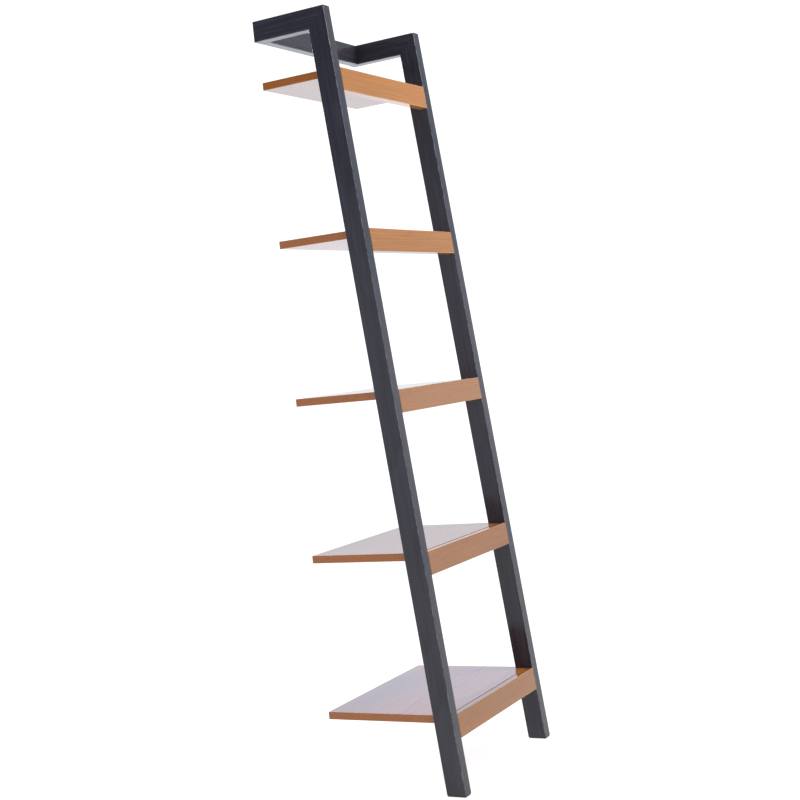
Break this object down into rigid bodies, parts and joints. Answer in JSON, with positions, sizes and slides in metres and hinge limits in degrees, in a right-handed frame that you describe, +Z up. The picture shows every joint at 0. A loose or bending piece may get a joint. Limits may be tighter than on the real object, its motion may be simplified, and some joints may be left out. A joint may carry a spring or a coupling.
{
  "type": "ladder shelf",
  "caption": "Leaning ladder shelf: raked dark timber posts with level top arms and a wall crossbar, carrying brown timber shelves with deep front boards, deeper towards the floor.",
  "frame": {"origin": "on the floor, in the middle of the footprint: midway between the posts' outer faces and midway between the front edge of the feet and the wall plane", "axes": "+X along the shelves to the right as seen from the front, +Y from the front to the wall, +Z up"},
  "size_m": [0.485, 0.35, 1.8],
  "materials": {
    "frame_wood": "solid wood, charcoal stain under semi-gloss lacquer, fine open grain, softened arrises",
    "shelf_wood": "solid wood, honey-brown stain under gloss lacquer, grain along the shelf",
    "dowel_wood": "raw beech, hidden in the joints",
    "foot_rubber": "matt black rubber",
    "zinc_steel": "bright zinc plate"
  },
  "bodies": {
    "root": {"left_upright": "frame_wood", "left_top_arm": "frame_wood", "left_foot_pad": "foot_rubber", "right_upright": "frame_wood", "right_top_arm": "frame_wood", "right_foot_pad": "foot_rubber", "rear_crossbar": "frame_wood", "shelf_panel_1": "shelf_wood", "front_board_1": "shelf_wood", "shelf_panel_2": "shelf_wood", "front_board_2": "shelf_wood", "shelf_panel_3": "shelf_wood", "front_board_3": "shelf_wood", "shelf_panel_4": "shelf_wood", "front_board_4": "shelf_wood", "shelf_panel_5": "shelf_wood", "front_board_5": "shelf_wood", "mitre_dowels": "dowel_wood", "crossbar_dowels": "dowel_wood", "board_end_dowels": "dowel_wood", "panel_edge_dowels": "dowel_wood", "wall_hangers": "zinc_steel", "hanger_screws": "zinc_steel"}
  },
  "joints": []
}
